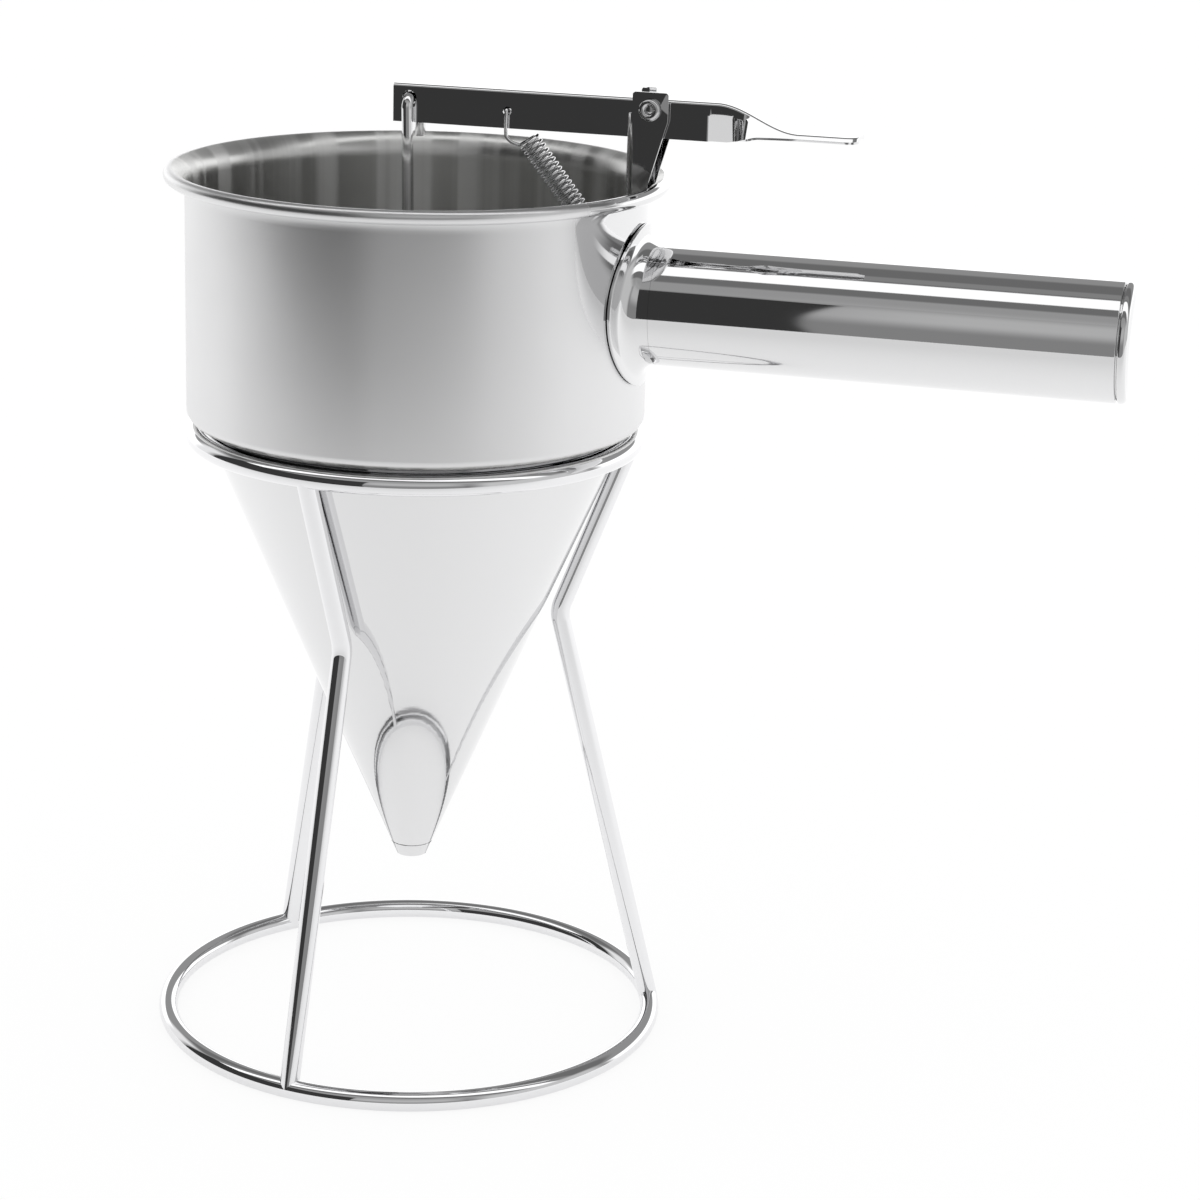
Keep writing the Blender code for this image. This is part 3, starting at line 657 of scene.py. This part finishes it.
def buildLever():
    corner = lever["tabCorner"]
    cornerStart = lever["tabReach"] - corner
    shaped = lever["taperStart"] + lever["taper"] - lever["pinchStart"]
    stations = [hookReach - lever["nose"]]
    stations += [lever["pinchStart"] + shaped * step / lever["steps"]
                 for step in range(lever["steps"] + 1)]
    stations += [cornerStart + corner * sin(step * pi / 2 / lever["tipSteps"])
                 for step in range(lever["tipSteps"] + 1)]
    bm = bmesh.new()
    loops = []
    for reach in stations:
        share = ease((reach - lever["taperStart"]) / lever["taper"])
        width = lever["width"] + (lever["tabWidth"] - lever["width"]) * share
        into = max(0, reach - cornerStart)
        width -= 2 * (corner - sqrt(max(0, corner ** 2 - into ** 2)))
        lean = lever["splayAngle"] * ease((reach - lever["splayStart"]) / lever["splay"])
        pinch = lever["pinch"] * (ease((reach - lever["pinchStart"]) / lever["pinchEdge"])
                                  * ease((lever["pinchEnd"] - reach) / lever["pinchEdge"]))
        top = lever["top"] - lever["tabDrop"] * share
        low = lever["top"] - lever["height"]
        tabLow = lever["top"] - lever["tabDrop"] - lever["wall"] - lever["tabLip"]
        sideShare = ease((reach - lever["sideStart"]) / lever["side"])
        places = leverCut(reach, width, lean, pinch, top, low + (tabLow - low) * sideShare)
        corners = [bm.verts.new(place) for place in places]
        loops.append([bm.edges.new(pair) for pair in zip(corners, corners[1:] + corners[:1])])
        if reach in (stations[0], stations[-1]):
            bm.faces.new(corners)
    for first, second in zip(loops, loops[1:]):
        bmesh.ops.bridge_loops(bm, edges=first + second)
    bmesh.ops.recalc_face_normals(bm, faces=bm.faces)
    holes = [(lever["pivotHole"], pivotReach, pivot.z),
             (lever["hookHole"], hookReach, hookPoint.z),
             (lever["springHole"], coil["hole"], coil["holeHeight"])]
    cutters = [("DIFFERENCE", drill(*hole, lever["width"])) for hole in holes]
    bm = cutAndSoften(bm, cutters, lever["soften"])
    linkPiece("thumbLever", bm, polished, "lever", ["lever"], softened=True)


# bracket: a folded channel inside the bowl, with two ears over the rim that hold the lever
bracket = {"wall": 0.0012, "halfWidth": 0.0059, "depth": 0.0031, "bend": 0.0021, "bottom": 0.2320,
           "front": 0.0052, "back": 0.0053, "step": 0.0014, "top": 0.2958, "corner": 0.0009,
           "neckFront": 0.0003, "neckRise": 0.0045, "shoulder": 0.0032, "notchRoom": 0.0010,
           "farTrim": 0.0011, "farDrop": 0.0003, "anchorHeight": 0.2393, "anchorHole": 0.0012,
           "anchorSegments": 32, "flareSteps": 8, "cornerSteps": 6, "bendSteps": (10, 8),
           "soften": 0.00015, "over": 0.004}


def bracketSide():
    inner = bowl["radius"] - bowl["wall"]
    curveIn = inner - sqrt(inner ** 2 - bracket["halfWidth"] ** 2)
    gap = handle["gap"]
    wallSide = inner - curveIn - gap
    back = wallSide - bracket["depth"]
    bead = arc((bowl["rimRadius"] - bowl["beadRadius"], bowl["rim"]), bowl["beadRadius"],
               bowl["beadEnd"], bowl["beadEnd"], 1)[0]
    flare = curveBetween((inner, bowl["rim"] - bowl["flare"]), (inner, bowl["rim"]), bead,
                         bracket["flareSteps"])
    points = [(back, bracket["bottom"]), (wallSide, bracket["bottom"]), (wallSide, flare[0][1])]
    for before, point, after in zip(flare, flare[1:], flare[2:]):
        run, rise = after[0] - before[0], after[1] - before[1]
        length = hypot(run, rise)
        points.append((point[0] - curveIn - gap * rise / length, point[1] + gap * run / length))
    front, stepBack = pivotReach + bracket["front"], pivotReach - bracket["back"]
    points += [(pivotReach + bracket["neckFront"], bowl["rim"] + bracket["neckRise"]),
               (front, pivot.z - bracket["shoulder"])]
    corner, top, steps = bracket["corner"], bracket["top"], bracket["cornerSteps"]
    points += arc((front - corner, top - corner), corner, 0, 90, steps)
    points += arc((stepBack + corner, top - corner), corner, 90, 180, steps)
    points += [(stepBack, pivot.z - bracket["step"]), (back, pivot.z - bracket["step"])]
    return points, back


def buildBracket():
    side, back = bracketSide()
    half, bend, wall, over = (bracket[key] for key in ("halfWidth", "bend", "wall", "over"))
    outerSteps, innerSteps = bracket["bendSteps"]
    front = pivotReach + bracket["front"] + over
    section = [(front, -half)]
    section += arc((back + bend, bend - half), bend, -90, -180, outerSteps)
    section += arc((back + bend, half - bend), bend, 180, 90, outerSteps)
    section += [(front, half), (front, half - wall)]
    section += arc((back + bend, half - bend), bend - wall, 90, 180, innerSteps)
    section += arc((back + bend, bend - half), bend - wall, -180, -90, innerSteps)
    section += [(front, wall - half)]
    low = lever["top"] - lever["height"] - bracket["notchRoom"]
    roof = bracket["top"] + over
    notch = [(back - over, low), (back + bend + over, low), (back + bend + over, roof),
             (back - over, roof)]
    trimStart, trimLow = pivotReach - bracket["farTrim"], lever["top"] - bracket["farDrop"]
    trim = [(trimStart, trimLow), (front, trimLow), (front, roof), (trimStart, roof)]
    slot = half - wall
    anchor = spunProfile([(0, -over), (bracket["anchorHole"], -over),
                          (bracket["anchorHole"], over), (0, over)],
                         bracket["anchorSegments"], closed=False)
    layAlongX(anchor, bracket["anchorHeight"])
    bmesh.ops.translate(anchor, verts=anchor.verts, vec=(back, 0, 0))
    cutters = [("INTERSECT", prism(side, "Y", -half - over, half + over)),
               ("DIFFERENCE", prism(notch, "Y", -slot, slot)),
               ("DIFFERENCE", prism(trim, "Y", 0, half + over)),
               ("DIFFERENCE", drill(lever["pivotHole"], pivotReach, pivot.z, half + over)),
               ("DIFFERENCE", anchor)]
    bm = prism(section, "Z", bracket["bottom"] - over, roof)
    bm = cutAndSoften(bm, cutters, bracket["soften"])
    linkPiece("pivotBracket", bm, polished, "hopper", ["pivot_bracket"],
              softened=True)


rivet = {"radius": 0.0015, "head": 0.0032, "headHeight": 0.0018, "dimple": 0.0011,
         "dimpleDepth": 0.0008, "gap": 0.0003, "rollTurn": 15, "segments": 72}


def buildRivet():
    seat = bracket["halfWidth"] + rivet["gap"]
    end = seat + rivet["headHeight"]
    crown = (rivet["dimple"] + rivet["head"]) / 2
    swell = rivet["head"] - crown
    roll = [(crown + swell * cos(radians(turn)), end - swell + swell * sin(radians(turn)))
            for turn in range(0, 181, rivet["rollTurn"])]
    points = [(0, rivet["dimpleDepth"] - end)]
    points += [(radius, -height) for radius, height in reversed(roll)]
    points += [(rivet["head"], -seat), (rivet["radius"], -seat), (rivet["radius"], seat),
               (rivet["head"], seat)]
    points += roll[:len(roll) // 2 + 1] + [(0, end)]
    bm = spunProfile(points, rivet["segments"], closed=False)
    layAlongY(bm, pivotReach, pivot.z)
    linkPiece("pivotRivet", bm, mirrorSteel("rivetSteel", rivetFinish), "hopper",
              ["pivot_rivet"])


# stopper: a wire rod hooked through the lever, and the plug that closes the outlet
stopper = {"rod": 0.0017, "sideRoom": 0.00035, "bend": 0.0030, "tail": 0.0125, "knee": 0.0300,
           "straight": 0.0140, "plug": 0.0060, "tip": 0.0024, "land": 0.0042, "shoulder": 0.0040,
           "neckWall": 0.0013, "neckLength": 0.0043, "socket": 0.0080, "segments": 96,
           "bendSteps": 14, "rodDetail": 8}


def coneSeat():
    top = cone["tip"] + nozzle["height"] + nozzle["spigot"]
    return coneInner(top) - cone["gap"] / cos(cone["halfAngle"]) - nozzle["lip"], top


def buildNozzle():
    rise = cone["tip"] + nozzle["height"]
    mouth, top = coneSeat()
    slope = cone["gap"] / cos(cone["halfAngle"])
    points = [(cone["tipRadius"], cone["tip"]), (coneOuter(rise), rise),
              (coneInner(rise) - slope, rise), (coneInner(top) - slope, top), (mouth, top),
              (nozzle["bore"], rise), (nozzle["bore"], cone["tip"])]
    linkPiece("outletNozzle", spunProfile(points, nozzle["segments"]), polished, "hopper",
              ["outlet_nozzle"])


def buildStopper():
    mouth, mouthHeight = coneSeat()
    rise = cone["tip"] + nozzle["height"]
    slope = (mouth - nozzle["bore"]) / (mouthHeight - rise)
    seatGap = cone["gap"] * hypot(1, slope)
    tip = rise + (stopper["tip"] - nozzle["bore"] + seatGap) / slope
    widest = rise + (stopper["plug"] - nozzle["bore"] + seatGap) / slope
    neckRadius = stopper["rod"] + cone["gap"] + stopper["neckWall"]
    neck = widest + stopper["land"] + stopper["shoulder"]
    top = neck + stopper["neckLength"]
    socket = stopper["rod"] + cone["gap"]
    points = [(0, tip), (stopper["tip"], tip), (stopper["plug"], widest),
              (stopper["plug"], widest + stopper["land"]), (neckRadius, neck), (neckRadius, top),
              (socket, top), (socket, top - stopper["socket"]), (0, top - stopper["socket"])]
    bm = spunProfile(points, stopper["segments"], closed=False)
    linkPiece("stopperPlug", bm, polished, "stopper", ["stopper_plug"])
    rodEnd = top - stopper["socket"] + cone["gap"]
    side = lever["width"] / 2 + stopper["sideRoom"] + stopper["rod"]
    corners = [(0, 0, rodEnd), (0, 0, rodEnd + stopper["straight"]),
               (hookReach, -side, hookPoint.z), (hookReach, side, hookPoint.z),
               (hookReach, side, hookPoint.z - stopper["tail"])]
    radii = [stopper["knee"], stopper["bend"], stopper["bend"]]
    path = roundedPath(corners, radii, stopper["bendSteps"])
    linkPiece("stopperRod", drawnWire(path, stopper["rod"], stopper["rodDetail"]), polished,
              "stopper", ["stopper_rod"], wireSharp)


# return spring: close coils hooked between the lever's near side and the bracket
coil = {"wire": 0.00052, "radius": 0.00305, "pitch": 0.00165, "points": 24, "hookLength": 0.010,
        "hole": 0.0281, "holeHeight": 0.2876, "sideRoom": 0.0004, "endLength": 0.0018,
        "detail": 4, "step": 0.0004, "drop": 0.0035, "leadIn": ((0.18, 0.5), (0.55, 0.18)),
        "leadOut": 0.55}


def springPath():
    flange = lever["width"] / 2 - lever["wall"] / 2
    hole = Vector((coil["hole"], -flange, coil["holeHeight"]))
    back = bracketSide()[1]
    anchor = Vector((back + bracket["wall"] / 2, 0, bracket["anchorHeight"]))
    line = (anchor - hole).normalized()
    start, end = hole + line * coil["hookLength"], anchor - line * coil["hookLength"]
    side = Vector((0, 1, 0)).cross(line).normalized()
    side = -side if side.z > 0 else side
    across = line.cross(side)
    count = round((end - start).length / coil["pitch"]) * coil["points"]
    turns = [start.lerp(end, index / count)
             + coil["radius"] * (cos(2 * pi * index / coil["points"]) * side
                                 + sin(2 * pi * index / coil["points"]) * across)
             for index in range(count + 1)]
    outside = -lever["width"] / 2 - coil["wire"] - coil["sideRoom"]
    inside = -lever["width"] / 2 + lever["wall"] + coil["wire"] + coil["sideRoom"]
    rise = lever["springHole"] / 4
    upper = [Vector((hole.x, inside, hole.z - coil["endLength"])),
             Vector((hole.x, inside, hole.z - rise)),
             Vector((hole.x, hole.y, hole.z + rise)),
             Vector((hole.x, outside, hole.z - rise)),
             Vector((hole.x, outside, turns[0].z + coil["drop"]))]
    upper += [Vector((hole.x + (turns[0].x - hole.x) * along,
                      outside + (turns[0].y - outside) * along,
                      turns[0].z + coil["drop"] * above)) for along, above in coil["leadIn"]]
    upper.append(turns[0])
    behind = back + bracket["wall"] + coil["wire"] + coil["sideRoom"]
    lower = [turns[-1], turns[-1] + (anchor - turns[-1]) * coil["leadOut"],
             Vector((anchor.x - bracket["wall"], 0, anchor.z + rise)), anchor,
             Vector((behind, 0, anchor.z - rise)),
             Vector((behind, 0, anchor.z - coil["endLength"]))]
    return flowingPath(upper, coil["step"])[:-1] + turns + flowingPath(lower, coil["step"])[1:]


def buildSpring():
    bm = drawnWire(springPath(), coil["wire"], coil["detail"])
    piece = linkPiece("returnSpring", bm, spring, None, ["return_spring"],
                      wireSharp)
    anchor = (axisX + bracketSide()[1], 0, bracket["anchorHeight"])
    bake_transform(piece)


buildNozzle()
buildLever()
buildBracket()
buildRivet()
buildStopper()
buildSpring()
print("lever, bracket, stopper and spring built")


# studio: a pale table that ends in front of the object. A mirror sees it lit evenly, and
# brighter towards the backdrop.
studio = {"tableFront": -0.78, "tableBack": 6, "tableSide": 4, "tableColor": (0.92, 0.92, 0.92, 1),
          "tableRoughness": 0.9,
          "cameraShare": 0.86, "glossShare": 0.55, "cameraGlow": 1.03,
          "glow": ((-0.5, 0.86), (0.1, 1.30), (0.9, 1.42))}


def addTable():
    bm = bmesh.new()
    bmesh.ops.create_grid(bm, x_segments=1, y_segments=1, size=1)
    middle = (studio["tableFront"] + studio["tableBack"]) / 2
    half = (studio["tableBack"] - studio["tableFront"]) / 2
    bmesh.ops.scale(bm, vec=(studio["tableSide"], half, 1), verts=bm.verts)
    bmesh.ops.translate(bm, vec=(0, middle, 0), verts=bm.verts)
    mesh = bpy.data.meshes.new("table")
    bm.to_mesh(mesh)
    bm.free()
    table = bpy.data.objects.new("table", mesh)
    bpy.context.scene.collection.objects.link(table)
    material = bpy.data.materials.new("paleTable")
    material.use_nodes = True
    graph = material.node_tree
    shader = graph.nodes["Principled BSDF"]
    shader.inputs["Base Color"].default_value = studio["tableColor"]
    shader.inputs["Roughness"].default_value = studio["tableRoughness"]
    shader.inputs["Specular IOR Level"].default_value = 0
    coords = addNode(graph, "ShaderNodeTexCoord")
    parts = addNode(graph, "ShaderNodeSeparateXYZ")
    graph.links.new(coords.outputs["Object"], parts.inputs["Vector"])
    (front, frontGlow), (middle, middleGlow), (back, backGlow) = studio["glow"]
    near = mapRange(graph, parts.outputs["Y"], front, middle, frontGlow, middleGlow)
    far = mapRange(graph, parts.outputs["Y"], middle, back, 0, backGlow - middleGlow)
    rays = addNode(graph, "ShaderNodeLightPath")
    strength = mixValues(graph, rays.outputs["Is Camera Ray"], mathNode(graph, "ADD", near, far),
                         studio["cameraGlow"])
    glow = addNode(graph, "ShaderNodeEmission", None, {"Color": (1, 1, 1, 1)})
    graph.links.new(strength, glow.inputs["Strength"])
    seen = mathNode(graph, "MULTIPLY", rays.outputs["Is Camera Ray"], studio["cameraShare"])
    mirrored = mathNode(graph, "MULTIPLY", rays.outputs["Is Glossy Ray"], studio["glossShare"])
    blend = addNode(graph, "ShaderNodeMixShader")
    graph.links.new(mathNode(graph, "MAXIMUM", seen, mirrored), blend.inputs["Fac"])
    graph.links.new(shader.outputs["BSDF"], blend.inputs[1])
    graph.links.new(glow.outputs["Emission"], blend.inputs[2])
    graph.links.new(blend.outputs["Shader"], graph.nodes["Material Output"].inputs["Surface"])
    mesh.materials.append(material)


# The room, by direction. "Tilt" turns about the X axis, from straight in front (-Y) up over
# the top to the back; "side" is the azimuth from straight in front, left positive; "rise" is
# the height above the horizon. Degrees, and light levels.
room = {"ceiling": 0.18,
        "panels": [(134, 165, 0.33, 4), (96, 108, 0.28, 2), (72, 93, 1.38, 1.2),
                   (58, 71, 0.19, 1.5), (40, 58, 0.38, 2)],
        "panelRise": (16, 20),
        "front": {"level": 0.28, "side": (-42, 10), "rise": (-90, 40), "edge": 1.5},
        "frontTop": {"level": 0.55, "side": (-42, 10), "rise": (12, 40), "edge": 10},
        "dark": {"level": 0.045, "side": (7.3, 97), "rise": (-90, 38), "edge": 0.35},
        "leftWall": {"level": 0.95, "side": (100, 125), "rise": (-90, 32), "edge": 6},
        "rightWall": {"level": 0.65, "side": (-112, -48), "rise": (-90, 30), "edge": 8},
        "backdrop": {"level": 1.45, "side": 118, "sideEdge": 6, "rise": 18.5, "edge": 1.2},
        "diffuse": 0.9, "camera": 1}


def band(graph, source, low, high, edge):
    start = mapRange(graph, source, low - edge, low + edge, 0, 1)
    end = mapRange(graph, source, high - edge, high + edge, 1, 0)
    return mathNode(graph, "MULTIPLY", start, end)


def lightRoom():
    world = bpy.data.worlds.new("studioRoom")
    bpy.context.scene.world = world
    world.use_nodes = True
    graph = world.node_tree
    background = graph.nodes["Background"]
    background.inputs["Color"].default_value = (1, 1, 1, 1)
    coords = addNode(graph, "ShaderNodeTexCoord")
    parts = addNode(graph, "ShaderNodeSeparateXYZ")
    graph.links.new(coords.outputs["Generated"], parts.inputs["Vector"])
    left = mathNode(graph, "MULTIPLY", parts.outputs["X"], -1)
    ahead = mathNode(graph, "MULTIPLY", parts.outputs["Y"], -1)
    side = mathNode(graph, "DEGREES", mathNode(graph, "ARCTAN2", left, ahead))
    tilt = mathNode(graph, "DEGREES", mathNode(graph, "ARCTAN2", parts.outputs["Z"], ahead))
    rise = mathNode(graph, "DEGREES", mathNode(graph, "ARCSINE", parts.outputs["Z"]))

    light = room["ceiling"]
    high = mapRange(graph, rise, *room["panelRise"], 0, 1)
    for low, top, level, edge in room["panels"]:
        share = mathNode(graph, "MULTIPLY", band(graph, tilt, low, top, edge), high)
        light = mixValues(graph, share, light, level)
    for name in ("front", "frontTop", "rightWall", "leftWall", "dark"):
        zone = room[name]
        share = mathNode(graph, "MULTIPLY", band(graph, side, *zone["side"], zone["edge"]),
                         band(graph, rise, *zone["rise"], zone["edge"]))
        light = mixValues(graph, share, light, zone["level"])
    backdrop = room["backdrop"]
    edge, sideEdge = backdrop["edge"], backdrop["sideEdge"]
    behind = mapRange(graph, mathNode(graph, "ABSOLUTE", side), backdrop["side"] - sideEdge,
                      backdrop["side"] + sideEdge, 0, 1)
    below = mapRange(graph, rise, backdrop["rise"] - edge, backdrop["rise"] + edge, 1, 0)
    light = mixValues(graph, mathNode(graph, "MULTIPLY", behind, below), light, backdrop["level"])
    rays = addNode(graph, "ShaderNodeLightPath")
    light = mixValues(graph, rays.outputs["Is Diffuse Ray"], light, room["diffuse"])
    light = mixValues(graph, rays.outputs["Is Camera Ray"], light, room["camera"])
    graph.links.new(light, background.inputs["Strength"])


addTable()
lightRoom()
bpy.context.scene.view_settings.view_transform = "Standard"
print("studio built")
